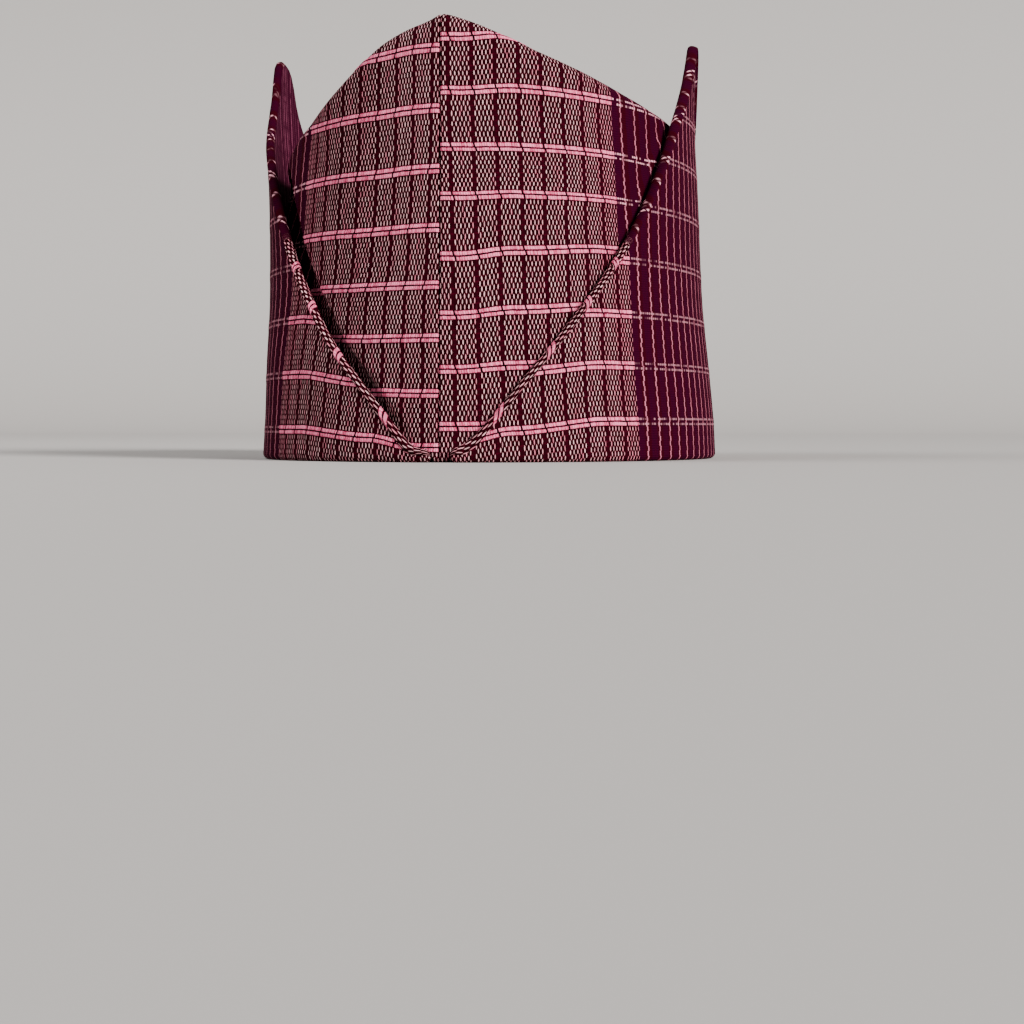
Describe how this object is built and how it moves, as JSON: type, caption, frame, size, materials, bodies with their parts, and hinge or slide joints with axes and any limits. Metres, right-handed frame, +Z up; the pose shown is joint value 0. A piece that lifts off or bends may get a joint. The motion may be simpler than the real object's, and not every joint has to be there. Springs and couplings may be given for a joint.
{
  "type": "aso oke fila cap",
  "caption": "Soft strip-woven cap: an oval crown of seamed panels with peaks at front and back, and stiffened ear flaps turned up from the rim into horn-like points at the sides.",
  "frame": {"origin": "middle of the rim on the surface that the cap rests on", "axes": "+Z up, -Y towards the front seam, +X towards the wearer's left ear flap"},
  "size_m": [0.1719, 0.2152, 0.1555],
  "materials": {
    "crown_cloth": "strip-woven cotton and rayon: near-black maroon ground, cream and pink float dashes, burgundy warp stripes and paired pink weft bands",
    "flap_cloth": "the same woven cloth over a stiffener, with the plain maroon and purple side of the strip towards the ears"
  },
  "bodies": {
    "root": {"crown_panel_left": "crown_cloth", "crown_panel_right": "crown_cloth", "ear_flap_left": "flap_cloth", "ear_flap_right": "flap_cloth"}
  },
  "joints": []
}
